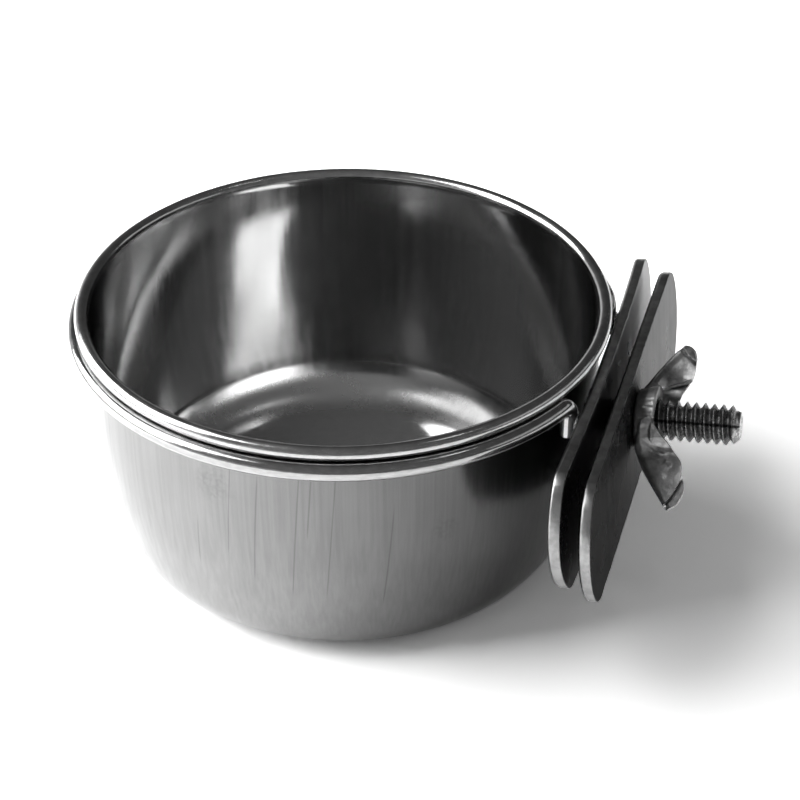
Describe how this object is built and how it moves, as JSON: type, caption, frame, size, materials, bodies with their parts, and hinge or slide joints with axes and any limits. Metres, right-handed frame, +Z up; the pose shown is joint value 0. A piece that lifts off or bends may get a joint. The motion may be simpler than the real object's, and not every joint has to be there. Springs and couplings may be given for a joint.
{
  "type": "seed cup",
  "caption": "Round steel seed cup with a rolled rim, hung in a wire ring that a two-plate clamp with a threaded bolt and a wing nut holds to cage wires.",
  "frame": {"origin": "centre of the underside of the cup's base", "axes": "+Z up out of the cup's mouth, +X from the cup towards the clamp, +Y along the clamp's plates"},
  "size_m": [0.0809, 0.0654, 0.033],
  "materials": {
    "cup_steel": "mirror inside and on the rim, satin outside with fine vertical draw marks",
    "ring_wire": "polished",
    "plate_steel": "semi-polished, with worn edges",
    "bolt_steel": "rolled thread with worn crests",
    "nut_steel": "pressed sheet, worn"
  },
  "bodies": {
    "holder": {"ring": "ring_wire", "inner_plate": "plate_steel", "bolt": "bolt_steel"},
    "cup": {"cup": "cup_steel"},
    "clamp": {"outer_plate": "plate_steel"},
    "nut": {"wing_nut": "nut_steel"}
  },
  "joints": [
    {"name": "cup_lift", "type": "slide", "parent": "holder", "child": "cup", "axis": [0, 0, 1], "range_m": [0, 0.034]},
    {"name": "plate_slide", "type": "slide", "parent": "holder", "child": "clamp", "axis": [0.9957, 0, 0.0924], "range_m": [-0.00105, 0.009]},
    {"name": "nut_turn", "type": "hinge", "parent": "clamp", "child": "nut", "pos_m": [0.03592, 0, 0.02203], "axis": [0.9957, 0, 0.0924], "range_deg": [-358, 3063]}
  ],
  "couplings": [
    {"joint": "nut_turn", "follows": "plate_slide", "rad_per_m": 5938.7}
  ]
}
